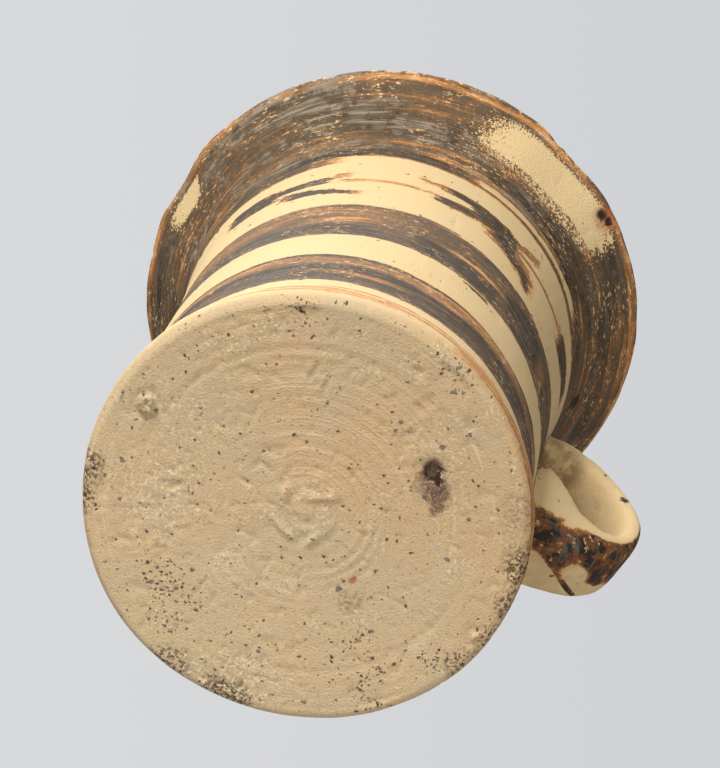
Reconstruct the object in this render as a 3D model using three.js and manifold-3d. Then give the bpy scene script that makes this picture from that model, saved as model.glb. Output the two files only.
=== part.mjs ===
// A banded pottery kyathos: a wheel-thrown cup with a flat foot, gently hollowed walls, a flaring mouth and
// one strap handle looped at mid height. The cup and its handle are one piece of fired clay.
// Millimetres, +Z up, origin at the centre of the underside, handle towards +X.

import * as THREE from "three";
import { mergeVertices } from "three/addons/utils/BufferGeometryUtils.js";
import Module from "manifold-3d";

const { clamp, lerp, smoothstep, degToRad, radToDeg } = THREE.MathUtils;

// Foot: a flat disc with a rounded edge
const FOOT_RADIUS = 36; // the widest place of the foot
const FOOT_FLAT_RADIUS = 34.4; // where the flat underside ends
const FOOT_EDGE_HEIGHT = 2.2; // from the ground up to the widest place

// Wall and mouth
const HEIGHT = 102;
const WAIST_RADIUS = 33.4; // the narrowest place of the wall
const WAIST_HEIGHT = 20;
const NECK_RADIUS = 34.6; // where the mouth begins to flare
const NECK_HEIGHT = 80;
const NECK_LEAN = degToRad(5); // of the wall from upright at the neck
const MOUTH_RADIUS = 44.5;
const FLARE_LEAN = degToRad(45); // of the wall from upright at the lip

// Clay thickness
const WALL = 4;
const LIP_THICKNESS = 3.2;
const FLOOR_THICKNESS = 6;
const FLOOR_FILLET = 6; // round of the inner corner between wall and floor

// Strap handle: it leaves the wall, dips, swings out to the elbow and arches back to the wall
const HANDLE_LOW = 40.5; // height of the middle of the lower root
const HANDLE_TOP = 59.5; // height of the middle of the upper root
const HANDLE_REACH = 17.6; // from the wall out to the middle of the strap
const HANDLE_ELBOW = 45.4; // height at which the strap is furthest out
const LOWER_DIP = 9.6; // pull of the lower arm below its root
const UPPER_ARCH = 8; // pull of the upper arm above its root
const STRAP_WIDTH = 11.9;
const STRAP_THICKNESS = 4;
const STRAP_SKEW = degToRad(8); // turn of the strap's face about the upright
const STRAP_SQUARENESS = 3; // 2 gives an oval section, more gives flatter faces
const LOWER_ROOT = { width: 19, thickness: 16.5 };
const UPPER_ROOT = { width: 14.5, thickness: 6.6 };

// Dents of the rim and the foot: azimuth and half width in degrees, depth in mm (a swelling where negative)
const RIM_DENTS = [
  { azimuth: -68, spread: 13, depth: 0.75 },
  { azimuth: -176, spread: 12, depth: 0.75 },
  { azimuth: 14, spread: 42, depth: 0.8 },
  { azimuth: 146, spread: 20, depth: -0.45 },
];
const FOOT_DENTS = [
  { azimuth: 0, spread: 26, depth: 0.25 },
  { azimuth: 120, spread: 44, depth: -0.45 },
];

// Fineness of the facets
const CUP_SIDES = 72;
const STRAP_SIDES = 20;
const STRAP_STEPS = 26;
const WALL_STEPS = { foot: 4, wall: 5, flare: 7 };
const FOOT_EDGE_STEPS = 4;
const LIP_STEPS = 8;
const FILLET_STEPS = 4;

// The middle of the lip's round edge, which touches both the full height and the full radius.
function lipCentre() {
  return { r: MOUTH_RADIUS - LIP_THICKNESS / 2, z: HEIGHT - LIP_THICKNESS / 2 };
}

// The outer wall from the foot's edge to the underside of the lip, as radius and height.
function wallCurve() {
  const wall = new THREE.Path();
  const rise = WAIST_HEIGHT - FOOT_EDGE_HEIGHT;
  wall.moveTo(FOOT_RADIUS, FOOT_EDGE_HEIGHT);
  wall.bezierCurveTo(
    FOOT_RADIUS, FOOT_EDGE_HEIGHT + rise * 0.3,
    WAIST_RADIUS, WAIST_HEIGHT - rise * 0.6,
    WAIST_RADIUS, WAIST_HEIGHT,
  );
  const reach = (NECK_HEIGHT - WAIST_HEIGHT) * 0.4;
  wall.bezierCurveTo(
    WAIST_RADIUS, WAIST_HEIGHT + reach,
    NECK_RADIUS - reach * Math.tan(NECK_LEAN), NECK_HEIGHT - reach,
    NECK_RADIUS, NECK_HEIGHT,
  );
  const lip = lipCentre();
  const endR = lip.r + (LIP_THICKNESS / 2) * Math.cos(FLARE_LEAN);
  const endZ = lip.z - (LIP_THICKNESS / 2) * Math.sin(FLARE_LEAN);
  const pull = (endZ - NECK_HEIGHT) * 0.42;
  wall.bezierCurveTo(
    NECK_RADIUS + pull * Math.tan(NECK_LEAN), NECK_HEIGHT + pull,
    endR - pull * Math.tan(FLARE_LEAN), endZ - pull,
    endR, endZ,
  );
  return wall;
}

// Points up the outer wall, each with its outward normal.
function wallPoints() {
  const steps = [WALL_STEPS.foot, WALL_STEPS.wall, WALL_STEPS.flare];
  return wallCurve().curves.flatMap((curve, k) => {
    const count = steps[k] + (k === steps.length - 1 ? 1 : 0);
    return Array.from({ length: count }, (_, i) => {
      const tangent = curve.getTangent(i / steps[k]);
      return { at: curve.getPoint(i / steps[k]), normal: new THREE.Vector2(tangent.y, -tangent.x) };
    });
  });
}

// An arc of an ellipse in the profile's plane, with both ends.
function arc(centre, radii, from, to, steps) {
  return Array.from({ length: steps + 1 }, (_, i) => {
    const a = lerp(from, to, i / steps);
    return new THREE.Vector2(centre.r + radii.r * Math.cos(a), centre.z + radii.z * Math.sin(a));
  });
}

// The wall's thickness, which thins over the flare towards the lip.
function thicknessAt(z) {
  return lerp(WALL, LIP_THICKNESS, smoothstep(z, NECK_HEIGHT, HEIGHT - LIP_THICKNESS));
}

function footEdge() {
  const centre = { r: FOOT_FLAT_RADIUS, z: FOOT_EDGE_HEIGHT };
  const radii = { r: FOOT_RADIUS - FOOT_FLAT_RADIUS, z: FOOT_EDGE_HEIGHT };
  return arc(centre, radii, -Math.PI / 2, 0, FOOT_EDGE_STEPS);
}

function lipEdge() {
  const radii = { r: LIP_THICKNESS / 2, z: LIP_THICKNESS / 2 };
  return arc(lipCentre(), radii, -FLARE_LEAN, Math.PI - FLARE_LEAN, LIP_STEPS);
}

// The inner wall from the lip down, then the round corner at the floor.
function innerWall() {
  const filletTop = FLOOR_THICKNESS + FLOOR_FILLET;
  const down = wallPoints()
    .map(({ at, normal }) => at.clone().addScaledVector(normal, -thicknessAt(at.y)))
    .filter((p) => p.y > filletTop + 1)
    .reverse();
  const centre = { r: down.at(-1).x - FLOOR_FILLET, z: filletTop };
  const radii = { r: FLOOR_FILLET, z: FLOOR_FILLET };
  return [...down.slice(1), ...arc(centre, radii, 0, -Math.PI / 2, FILLET_STEPS)];
}

// The closed profile: out along the underside, up outside, over the lip and down inside.
function cupProfile() {
  const outside = wallPoints().map(({ at }) => at);
  return [
    new THREE.Vector2(0, 0),
    ...footEdge().slice(0, -1),
    ...outside.slice(0, -1),
    ...lipEdge(),
    ...innerWall(),
    new THREE.Vector2(0, FLOOR_THICKNESS),
  ];
}

// How far a list of dents stands in from the true circle at an azimuth, in millimetres.
function dentAt(dents, azimuth) {
  return dents.reduce((sum, dent) => {
    const away = Math.abs(((azimuth - dent.azimuth + 540) % 360) - 180);
    return sum + (dent.depth / 2) * (1 + Math.cos(Math.PI * clamp(away / dent.spread, 0, 1)));
  }, 0);
}

// The turned cup, with the rim and the foot a little out of round.
function cupGeometry() {
  const cup = new THREE.LatheGeometry(cupProfile(), CUP_SIDES);
  cup.rotateX(Math.PI / 2);
  const place = cup.getAttribute("position");
  const v = new THREE.Vector3();
  for (let i = 0; i < place.count; i++) {
    v.fromBufferAttribute(place, i);
    const radius = Math.hypot(v.x, v.y);
    if (radius < 1) continue;
    const azimuth = radToDeg(Math.atan2(v.y, v.x));
    const rim = smoothstep(v.z, NECK_HEIGHT, HEIGHT) * dentAt(RIM_DENTS, azimuth);
    const foot = (1 - smoothstep(v.z, 0, WAIST_HEIGHT)) * dentAt(FOOT_DENTS, azimuth);
    const scale = 1 - (rim + foot) / radius;
    place.setXYZ(i, v.x * scale, v.y * scale, v.z);
  }
  return cup;
}

// The outer wall's radius at a height.
function wallRadiusAt(z) {
  const points = wallPoints().map(({ at }) => at);
  const k = clamp(points.findIndex((p) => p.y >= z), 1, points.length - 1);
  const share = (z - points[k - 1].y) / (points[k].y - points[k - 1].y);
  return lerp(points[k - 1].x, points[k].x, clamp(share, 0, 1));
}

// The middle line of the strap in the plane y = 0. Both ends reach through the wall.
function strapLine() {
  const root = Math.min(wallRadiusAt(HANDLE_LOW), wallRadiusAt(HANDLE_TOP)) - WALL;
  const out = root + WALL + HANDLE_REACH;
  const at = (share, z) => new THREE.Vector3(lerp(root, out, share), 0, z);
  const line = new THREE.CurvePath();
  line.add(
    new THREE.CubicBezierCurve3(
      at(0, HANDLE_LOW),
      at(0.47, HANDLE_LOW - LOWER_DIP),
      at(1, HANDLE_LOW - LOWER_DIP),
      at(1, HANDLE_ELBOW),
    ),
  );
  line.add(
    new THREE.CubicBezierCurve3(
      at(1, HANDLE_ELBOW),
      at(1, lerp(HANDLE_ELBOW, HANDLE_TOP, 0.5)),
      at(0.68, HANDLE_TOP + UPPER_ARCH),
      at(0, HANDLE_TOP),
    ),
  );
  return line;
}

// Half the width and half the thickness of the strap at a share of its length.
function strapSection(t) {
  const nearLower = (1 - smoothstep(t, 0.02, 0.44)) ** 1.6;
  const nearUpper = smoothstep(t, 0.66, 0.96);
  const half = (plain, lower, upper) => {
    return (plain + (lower - plain) * nearLower + (upper - plain) * nearUpper) / 2;
  };
  return {
    width: half(STRAP_WIDTH, LOWER_ROOT.width, UPPER_ROOT.width),
    thickness: half(STRAP_THICKNESS, LOWER_ROOT.thickness, UPPER_ROOT.thickness),
  };
}

// Presses a coordinate of the round section outwards, towards a flat face.
function pressed(share) {
  return Math.sign(share) * Math.abs(share) ** (2 / STRAP_SQUARENESS);
}

// A closed cylinder bent along the loop, its round section pressed into a strap.
function handleGeometry() {
  const handle = new THREE.CylinderGeometry(1, 1, 1, STRAP_SIDES, STRAP_STEPS);
  const line = strapLine();
  const place = handle.getAttribute("position");
  const sideways = new THREE.Vector3(0, 1, 0);
  const across = new THREE.Vector3(-Math.sin(STRAP_SKEW), Math.cos(STRAP_SKEW), 0);
  const v = new THREE.Vector3();
  for (let i = 0; i < place.count; i++) {
    v.fromBufferAttribute(place, i);
    const t = clamp(v.y + 0.5, 0, 1);
    const section = strapSection(t);
    const normal = new THREE.Vector3().crossVectors(line.getTangent(t), sideways);
    const at = line
      .getPoint(t)
      .addScaledVector(across, -pressed(v.x) * section.width)
      .addScaledVector(normal, pressed(v.z) * section.thickness);
    place.setXYZ(i, at.x, at.y, at.z);
  }
  return handle;
}

// A core that reaches to the middle of the wall, to trim the ends of the strap.
function coreGeometry() {
  const side = wallPoints().map(({ at, normal }) => at.clone().addScaledVector(normal, -WALL / 2));
  const foot = new THREE.Vector2(0, side[0].y);
  const top = new THREE.Vector2(0, side.at(-1).y);
  return new THREE.LatheGeometry([foot, ...side, top], CUP_SIDES).rotateX(Math.PI / 2);
}

const wasm = await Module();
wasm.setup();

// A closed geometry as a solid that can be joined and cut.
function solidOf(geometry) {
  const bare = new THREE.BufferGeometry().setAttribute("position", geometry.getAttribute("position"));
  bare.setIndex(geometry.index);
  const merged = mergeVertices(bare, 1e-4);
  const corners = merged.index.array;
  const kept = [];
  for (let i = 0; i < corners.length; i += 3) {
    const [a, b, c] = corners.slice(i, i + 3);
    if (a !== b && b !== c && c !== a) kept.push(a, b, c);
  }
  const mesh = new wasm.Mesh({
    numProp: 3,
    vertProperties: new Float32Array(merged.getAttribute("position").array),
    triVerts: new Uint32Array(kept),
  });
  return new wasm.Manifold(mesh);
}

function geometryOf(solid) {
  const mesh = solid.getMesh();
  const geometry = new THREE.BufferGeometry();
  geometry.setAttribute("position", new THREE.BufferAttribute(mesh.vertProperties, 3));
  geometry.setIndex(new THREE.BufferAttribute(mesh.triVerts, 1));
  geometry.computeVertexNormals();
  return geometry;
}

const clay = new THREE.MeshStandardMaterial({ color: 0xd9bb86, roughness: 0.72, metalness: 0 });

const strap = solidOf(handleGeometry()).subtract(solidOf(coreGeometry()));
const kyathos = new THREE.Mesh(geometryOf(solidOf(cupGeometry()).add(strap)), clay);
kyathos.name = "kyathos";

const part = new THREE.Group();
part.add(kyathos);

export default part;
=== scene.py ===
# A banded pottery kyathos: one body of buff clay, brushed with bands and strokes of dark slip,
# worn and pitted. The frame's solid gives the size. One fine mesh stands for it, and it carries
# the dents, the wheel marks and the paint.

import math
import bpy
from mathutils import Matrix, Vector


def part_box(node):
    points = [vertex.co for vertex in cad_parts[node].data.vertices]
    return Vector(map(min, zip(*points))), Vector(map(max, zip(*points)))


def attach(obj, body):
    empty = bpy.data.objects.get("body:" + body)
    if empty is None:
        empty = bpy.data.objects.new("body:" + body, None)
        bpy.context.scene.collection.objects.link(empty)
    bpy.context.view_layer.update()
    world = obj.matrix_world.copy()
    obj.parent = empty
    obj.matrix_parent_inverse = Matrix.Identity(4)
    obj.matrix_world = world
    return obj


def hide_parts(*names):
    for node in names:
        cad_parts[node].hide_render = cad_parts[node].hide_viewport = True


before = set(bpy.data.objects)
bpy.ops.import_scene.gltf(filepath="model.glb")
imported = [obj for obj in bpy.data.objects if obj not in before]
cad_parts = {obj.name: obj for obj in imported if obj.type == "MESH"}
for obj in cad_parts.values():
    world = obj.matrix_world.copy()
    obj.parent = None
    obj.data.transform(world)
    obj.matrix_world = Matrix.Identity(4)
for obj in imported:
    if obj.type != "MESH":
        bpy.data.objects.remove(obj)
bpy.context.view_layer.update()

from types import SimpleNamespace

import bmesh
import bpy
import numpy as np
from mathutils import Matrix, Vector, kdtree

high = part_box("kyathos")[1]

# Sizes are in millimetres of a cup 102 high, and MM brings them to the frame's own size in metres
HEIGHT = 102.0
MM = high.z / HEIGHT

FOOT_RADIUS = 36.0
FOOT_FLAT_RADIUS = 34.4
FOOT_EDGE_HEIGHT = 2.2
WAIST_RADIUS = 33.4
WAIST_HEIGHT = 20.0
NECK_RADIUS = 34.6
NECK_HEIGHT = 80.0
NECK_LEAN = math.radians(5)
MOUTH_RADIUS = 44.5
FLARE_LEAN = math.radians(45)
WALL = 4.0
LIP_THICKNESS = 3.2
FLOOR_THICKNESS = 6.0
FLOOR_FILLET = 6.0
# Shares of a stretch's height over which the wall's curves follow the direction of their ends
FOOT_PULL = 0.3
WAIST_PULL = 0.6
WALL_PULL = 0.4
FLARE_PULL = 0.42

# Strap handle
HANDLE_LOW = 40.5
HANDLE_TOP = 59.5
HANDLE_REACH = 17.6
HANDLE_ELBOW = 45.4
LOWER_DIP = 9.6
UPPER_ARCH = 8.0
STRAP_WIDTH = 11.9
STRAP_THICKNESS = 4.0
STRAP_SKEW = math.radians(8)
STRAP_SQUARENESS = 3.0
LOWER_ROOT = (19.0, 16.5)
UPPER_ROOT = (14.5, 6.6)
# Shares of the reach at which the two arms of the strap's curve are pulled down and up
LOWER_BOW = 0.47
UPPER_BOW = 0.68
# Shares of the strap's length over which it widens to its roots
LOWER_FLARE = (0.02, 0.44)
LOWER_FLARE_CURVE = 1.6
UPPER_FLARE = (0.66, 0.96)

# Dents of the rim and the foot: azimuth and half width in degrees, depth (a swelling where negative)
RIM_DENTS = [(-68, 13, 0.75), (-176, 12, 0.75), (14, 42, 0.8), (146, 20, -0.45)]
FOOT_DENTS = [(0, 26, 0.25), (120, 44, -0.45)]

# Fineness of the mesh
SIDES = 480
BASE_STEP = 0.46
WALL_STEP = 1.25
INNER_STEP = 1.7
FOOT_EDGE_RINGS = 6
LIP_RINGS = 10
CORNER_RINGS = 12
STRAP_SIDES = 44
STRAP_STEPS = 84
# Radii under which a ring has a half, a quarter and an eighth of the sides
COARSER_UNDER = (18, 9, 4.5)
# The smallest rings, which a fan closes
FIRST_RING = 1.0
LAST_RING = 1.2


# Shape of the cup

def smoothstep(value, start, end):
    share = np.clip((value - start) / (end - start), 0, 1)
    return share * share * (3 - 2 * share)


def lerp(a, b, share):
    return a + (b - a) * share


def bezier(points, steps):
    """Places along a cubic curve, first point included and last left out."""
    a, b, c, d = (np.array(p, float) for p in points)
    t = (np.arange(steps) / steps)[:, None]
    return a * (1 - t) ** 3 + 3 * b * t * (1 - t) ** 2 + 3 * c * t * t * (1 - t) + d * t**3


def arc(centre, radii, start, end, steps):
    """Places along an arc of an ellipse, first point included and last left out."""
    angle = start + (end - start) * np.arange(steps) / steps
    return np.stack([centre[0] + radii[0] * np.cos(angle), centre[1] + radii[1] * np.sin(angle)], 1)


def evenly(points, step):
    """Places at about this step along a line, both ends included."""
    length = np.concatenate([[0], np.cumsum(np.linalg.norm(np.diff(points, axis=0), axis=1))])
    at = np.linspace(0, length[-1], max(2, round(length[-1] / step) + 1))
    return np.stack([np.interp(at, length, points[:, k]) for k in (0, 1)], 1)


LIP_CENTRE = (MOUTH_RADIUS - LIP_THICKNESS / 2, HEIGHT - LIP_THICKNESS / 2)


def outer_wall():
    """The outer wall from the foot's edge to the underside of the lip, as radius and height."""
    rise = WAIST_HEIGHT - FOOT_EDGE_HEIGHT
    foot = [
        (FOOT_RADIUS, FOOT_EDGE_HEIGHT),
        (FOOT_RADIUS, FOOT_EDGE_HEIGHT + rise * FOOT_PULL),
        (WAIST_RADIUS, WAIST_HEIGHT - rise * WAIST_PULL),
        (WAIST_RADIUS, WAIST_HEIGHT),
    ]
    reach = (NECK_HEIGHT - WAIST_HEIGHT) * WALL_PULL
    wall = [
        (WAIST_RADIUS, WAIST_HEIGHT),
        (WAIST_RADIUS, WAIST_HEIGHT + reach),
        (NECK_RADIUS - reach * math.tan(NECK_LEAN), NECK_HEIGHT - reach),
        (NECK_RADIUS, NECK_HEIGHT),
    ]
    end_r = LIP_CENTRE[0] + LIP_THICKNESS / 2 * math.cos(FLARE_LEAN)
    end_z = LIP_CENTRE[1] - LIP_THICKNESS / 2 * math.sin(FLARE_LEAN)
    pull = (end_z - NECK_HEIGHT) * FLARE_PULL
    flare = [
        (NECK_RADIUS, NECK_HEIGHT),
        (NECK_RADIUS + pull * math.tan(NECK_LEAN), NECK_HEIGHT + pull),
        (end_r - pull * math.tan(FLARE_LEAN), end_z - pull),
        (end_r, end_z),
    ]
    return np.concatenate([bezier(foot, 60), bezier(wall, 120), bezier(flare, 80), [(end_r, end_z)]])


OUTER = outer_wall()


def offset_wall(share):
    """The wall's line moved in by a share of its thickness."""
    along = np.gradient(OUTER, axis=0)
    along /= np.linalg.norm(along, axis=1, keepdims=True)
    thickness = lerp(WALL, LIP_THICKNESS, smoothstep(OUTER[:, 1], NECK_HEIGHT, HEIGHT - LIP_THICKNESS))
    return OUTER + np.stack([-along[:, 1], along[:, 0]], 1) * (thickness * share)[:, None]


INNER = offset_wall(1)
MIDDLE = offset_wall(0.5)


def inner_line():
    """From the lip down inside, round the corner and in along the floor."""
    fillet_top = FLOOR_THICKNESS + FLOOR_FILLET
    down = INNER[INNER[:, 1] > fillet_top + 0.2][::-1]
    corner = arc((down[-1, 0] - FLOOR_FILLET, fillet_top), (FLOOR_FILLET,) * 2, 0, -math.pi / 2, CORNER_RINGS)
    floor = np.array([(down[-1, 0] - FLOOR_FILLET, FLOOR_THICKNESS), (LAST_RING, FLOOR_THICKNESS)])
    return np.concatenate([down, corner, floor])


def dent_at(dents, azimuth):
    """How far a list of dents stands in from the true circle, azimuth in degrees."""
    total = np.zeros_like(azimuth)
    for place, spread, depth in dents:
        away = np.abs((azimuth - place + 540) % 360 - 180)
        total += depth / 2 * (1 + np.cos(np.pi * np.clip(away / spread, 0, 1)))
    return total


# Points along each side of the block of random numbers that the lumps repeat
LUMP_GRID = 32


def lumps(points, size, seed):
    """Smooth noise from about -1 to 1, with lumps of this size (one number, or one for each axis)."""
    grid = np.random.default_rng(seed).uniform(-1, 1, (LUMP_GRID,) * 3)
    place = points / np.array(size, float)
    cell = np.floor(place).astype(int)
    share = place - cell
    share = share * share * (3 - 2 * share)
    total = np.zeros(len(points))
    for corner in np.ndindex(2, 2, 2):
        weight = np.prod(np.where(corner, share, 1 - share), axis=1)
        i, j, k = ((cell + corner) % LUMP_GRID).T
        total += weight * grid[i, j, k]
    return total


# Marks of the underside: x, y and radius

PELLETS = [(-30, -4, 1.6), (33.3, 5.6, 1.0)]
ROUGH_PATCHES = [
    (4, 31, 7), (5, 23, 4), (-20, 12, 8), (-17, -7, 4),
    (10, -17, 5), (-27, 18, 5), (-8, -22, 5), (-24, -16, 4),
]
EDGE_CHIPS = [(-15, -30.6, 2.6), (10.5, -32.6, 3.0), (0, 34.2, 1.6), (-31.5, 13.5, 1.8), (25, 23.5, 1.6)]
CHIP = (14.5, -16.0)
CLUMP_RADIUS = 9.0
# Long marks of the underside: x, y, length and turn in degrees
GOUGES = [(8, -24.5, 2.2, 30), (16, -26, 2.6, 60), (5, -30, 2.0, 10), (-20, 6, 2.4, 120), (20, 24, 2.0, 80)]
CLUMP_RIDGES = [(-2, 4.2, 4.5, 20), (-4, -1, 4.0, 75), (3, 3.5, 3.5, 110), (1, -3.5, 3.6, 150)]
RIDGE_HALF_WIDTH = 0.45
# Heights and depths of the underside's marks
SOFT_LUMPS = 0.04
SMALL_LUMPS = 0.016
TURNING_LINES = 0.035
TURNED_ARCS = 0.09
GROOVE_RADIUS = 27.2
GROOVE_HALF_WIDTH = 0.5
GROOVE_DEPTH = 0.13
CRUMB_HEIGHT = 0.13
PORE_DEPTH = 0.16
RIDGE_HEIGHT = 0.4
GOUGE_DEPTH = 0.4
PELLET_HEIGHT = 0.62
PELLET_MOAT = 0.3
PELLET_DIMPLE = 0.2
CHIP_DEPTH = 0.9
CHIP_LIP = 0.15
EDGE_CHIP_DEPTH = 0.35


def ridge(x, y, place):
    """One along a short bent line of a given place, length and turn, falling to nothing beside it."""
    at_x, at_y, length, turn = place
    turn = math.radians(turn)
    along = (x - at_x) * math.cos(turn) + (y - at_y) * math.sin(turn)
    across = (y - at_y) * math.cos(turn) - (x - at_x) * math.sin(turn)
    across = across + 0.12 * along**2 / length
    return np.exp(-((along / (length / 2)) ** 4) - (across / RIDGE_HALF_WIDTH) ** 2)


def underside_relief(x, y):
    """How far the underside stands proud of its plane, in millimetres."""
    flat = np.stack([x, y, np.zeros_like(x)], 1)
    r = np.hypot(x, y)
    azimuth = np.degrees(np.arctan2(y, x))
    total = SOFT_LUMPS * lumps(flat, 7, 1) + SMALL_LUMPS * lumps(flat, 2.6, 2)
    total += TURNING_LINES * np.sin(r * 3.1 + lumps(flat, 12, 3)) * smoothstep(lumps(flat, 11, 4), -0.4, 0.4)
    groove = np.exp(-(((r - GROOVE_RADIUS) / GROOVE_HALF_WIDTH) ** 2))
    total -= GROOVE_DEPTH * groove * smoothstep(lumps(flat, 14, 5), -0.6, 0.3)
    arcs = smoothstep(np.abs(azimuth + 15), 80, 35) * smoothstep(r, 7.5, 9) * smoothstep(r, 15, 13)
    total += TURNED_ARCS * np.sin(r * 4.2 + 0.4 * lumps(flat, 6, 6)) * arcs
    rough = sum(np.exp(-(((x - a) ** 2 + (y - b) ** 2) / s**2)) for a, b, s in ROUGH_PATCHES)
    total += CRUMB_HEIGHT * lumps(flat, 1.0, 7) * np.clip(rough, 0, 1)
    total -= PORE_DEPTH * smoothstep(lumps(flat, 1.3, 8), 0.55, 0.8)
    clump = smoothstep(r, CLUMP_RADIUS, CLUMP_RADIUS - 5)
    total += clump * (0.05 + 0.2 * lumps(flat, 1.4, 9))
    total += RIDGE_HEIGHT * sum(ridge(x, y, place) for place in CLUMP_RIDGES)
    for a, b, size in PELLETS:
        away = np.hypot(x - a, y - b)
        dome = PELLET_HEIGHT * smoothstep(away, size + 0.2, size - 0.3)
        moat = PELLET_MOAT * np.exp(-(((away - size - 0.5) / 0.4) ** 2))
        total += dome - moat
        total -= PELLET_DIMPLE * smoothstep(away, size * 0.7, 0)
    total -= GOUGE_DEPTH * sum(ridge(x, y, place) for place in GOUGES)
    away = np.hypot(x - CHIP[0], (y - CHIP[1]) * 0.85) + 0.5 * lumps(flat, 1.2, 10)
    total -= CHIP_DEPTH * smoothstep(away, 2.3, 0.7)
    total += CHIP_LIP * np.exp(-(((away - 3.2) / 0.9) ** 2))
    chips = sum(np.exp(-(((x - a) ** 2 + (y - b) ** 2) / s**2)) for a, b, s in EDGE_CHIPS)
    total -= chips * (EDGE_CHIP_DEPTH + 0.25 * lumps(flat, 0.9, 11))
    return total


# Pits in the flare: azimuth, height, radius and depth
WALL_PITS = [(-54.4, 98.3, 1.0, 0.9), (-51.8, 98.7, 0.8, 0.7)]
# Wheel marks of the wall and spiral drag of the flare: height, step between marks, rise in a turn
WHEEL_MARK_HEIGHT = 0.1
WHEEL_MARK_STEP = 2.6
WHEEL_MARK_RISE = 1.5
DRAG_HEIGHT = 0.1
DRAG_STEP = 1.1
DRAG_RISE = 4
# Pores and soft lumps of the wall, waves and chips of the lip, wheel marks inside
WALL_PORE_DEPTH = 0.22
WALL_LUMPS = 0.09
WALL_SMALL_LUMPS = 0.035
LIP_WAVE = 0.12
LIP_CHIP_DEPTH = 0.35
INNER_MARK_HEIGHT = 0.12


def wall_relief(place, azimuth, z):
    """How far the outer wall stands proud: wheel marks, soft lumps, and the spiral drag of the flare."""
    turn = azimuth / 360
    around = np.radians(azimuth)
    level = (z - WHEEL_MARK_RISE * turn) / WHEEL_MARK_STEP
    ring = np.stack([np.cos(around) * 2, np.sin(around) * 2, level], 1)
    marks = WHEEL_MARK_HEIGHT * lumps(ring, 1, 21) * smoothstep(z, 3, 8)
    flare = smoothstep(z, NECK_HEIGHT - 2, NECK_HEIGHT + 4)
    fine = np.stack([ring[:, 0] * 0.7, ring[:, 1] * 0.7, (z + DRAG_RISE * turn) / DRAG_STEP], 1)
    drag = DRAG_HEIGHT * lumps(fine, 1, 22) * flare
    pits = WALL_PORE_DEPTH * smoothstep(lumps(place, 1.6, 23), 0.62, 0.85)
    for at, level, radius, depth in WALL_PITS:
        away = np.hypot((azimuth - at) * math.radians(MOUTH_RADIUS), (z - level) * 1.3)
        pits = pits + depth * smoothstep(away, radius * 1.2, radius * 0.4)
    return marks + drag - pits + WALL_LUMPS * lumps(place, 9, 24) + WALL_SMALL_LUMPS * lumps(place, 2.2, 25)


def rim_wear(place):
    """The lip's small chips and waves."""
    return LIP_WAVE * lumps(place, 4, 31) - LIP_CHIP_DEPTH * smoothstep(lumps(place, 2.4, 32), 0.55, 0.8)


def inner_marks(out, z, radius):
    """The wheel marks inside, up the wall and across the floor."""
    level = z / 2.8 + radius / 9
    return -INNER_MARK_HEIGHT * lumps(np.stack([out[:, 0], out[:, 1], level], 1), 1, 41)


def turned_mesh():
    """The cup as rings of points, out along the underside, up, over the lip, and down inside."""
    rings = []
    for r in np.arange(FIRST_RING, FOOT_FLAT_RADIUS, BASE_STEP):
        sides = SIDES // 2 ** sum(r <= limit for limit in COARSER_UNDER)
        rings.append((r, 0.0, sides, "underside"))
    edge_radii = (FOOT_RADIUS - FOOT_FLAT_RADIUS, FOOT_EDGE_HEIGHT)
    for r, z in arc((FOOT_FLAT_RADIUS, FOOT_EDGE_HEIGHT), edge_radii, -math.pi / 2, 0, FOOT_EDGE_RINGS):
        rings.append((r, z, SIDES, "edge"))
    for r, z in evenly(OUTER, WALL_STEP):
        rings.append((r, z, SIDES, "wall"))
    lip = arc(LIP_CENTRE, (LIP_THICKNESS / 2,) * 2, -FLARE_LEAN, math.pi - FLARE_LEAN, LIP_RINGS)
    for r, z in lip[1:]:
        rings.append((r, z, SIDES, "lip"))
    for k, (r, z) in enumerate(evenly(inner_line(), INNER_STEP)):
        sides = SIDES if k < 2 else SIDES // 2 if r > COARSER_UNDER[1] else SIDES // 4
        rings.append((r, z, sides, "inside"))
    points = []
    for r, z, sides, part in rings:
        angle = 2 * np.pi * np.arange(sides) / sides
        place = np.stack([r * np.cos(angle), r * np.sin(angle), np.full(sides, z)], 1)
        azimuth = (np.degrees(angle) + 180) % 360 - 180
        out = place * (1, 1, 0) / r
        rim = smoothstep(place[:, 2], NECK_HEIGHT, HEIGHT) * dent_at(RIM_DENTS, azimuth)
        foot = (1 - smoothstep(place[:, 2], 0, WAIST_HEIGHT)) * dent_at(FOOT_DENTS, azimuth)
        raised = np.zeros(sides)
        if part in ("wall", "edge"):
            raised = wall_relief(place, azimuth, place[:, 2])
        if part == "lip":
            raised = rim_wear(place)
        if part == "inside" and r > LAST_RING:
            raised = inner_marks(out, place[:, 2], r)
        place = place + out * (raised - rim - foot)[:, None]
        if part == "underside":
            proud = underside_relief(place[:, 0], place[:, 1])
            place[:, 2] -= proud * smoothstep(r, FOOT_FLAT_RADIUS + 0.4, FOOT_FLAT_RADIUS - 1)
        points.append(place)
    return points


def bridge(faces, first, first_sides, second, second_sides):
    """Faces between two rings. One ring may have twice the points of the other."""
    for j in range(min(first_sides, second_sides)):
        k = (j + 1) % min(first_sides, second_sides)
        if first_sides == second_sides:
            faces.append((first + j, first + k, second + k, second + j))
        elif first_sides < second_sides:
            a, b, c = 2 * j, 2 * j + 1, (2 * j + 2) % second_sides
            faces.append((first + j, first + k, second + b))
            faces.append((first + j, second + b, second + a))
            faces.append((first + k, second + c, second + b))
        else:
            a, b, c = 2 * j, 2 * j + 1, (2 * j + 2) % first_sides
            faces.append((first + a, first + b, second + j))
            faces.append((first + b, second + k, second + j))
            faces.append((first + b, first + c, second + k))


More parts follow.
